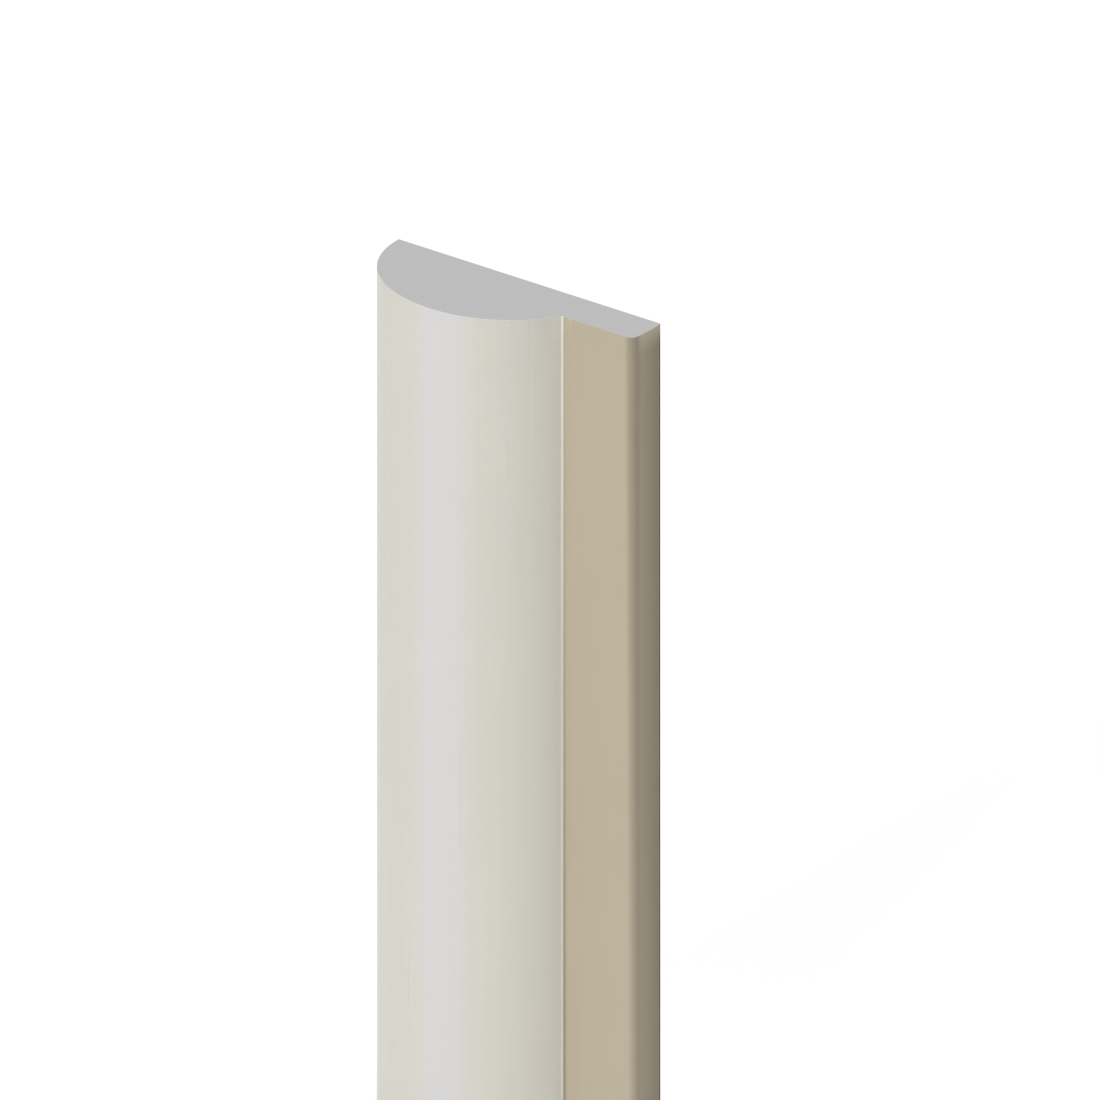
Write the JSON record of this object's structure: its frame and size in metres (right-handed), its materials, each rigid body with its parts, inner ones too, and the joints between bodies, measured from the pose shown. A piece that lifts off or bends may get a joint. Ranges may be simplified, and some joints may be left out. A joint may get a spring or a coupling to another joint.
{
  "type": "finishing trim moulding",
  "caption": "Finishing trim moulding: a half-elliptic off-white bead with a thin flat beige lip along one side, cut square, to cover a joint or the edge of a panel.",
  "frame": {"origin": "middle of the section's bounding box, on the lower cut end", "axes": "+Z along the moulding's length, +X across its width from the bead to the lip, +Y out of the flat back; the moulded front faces -Y"},
  "size_m": [0.0352, 0.012, 0.1],
  "materials": {
    "trim_skin": "satin off-white skin on the bead, satin beige skin on the lip, outer edge and back, bare light-grey foamed core at the two cut ends"
  },
  "bodies": {
    "root": {"trim_moulding": "trim_skin"}
  },
  "joints": []
}
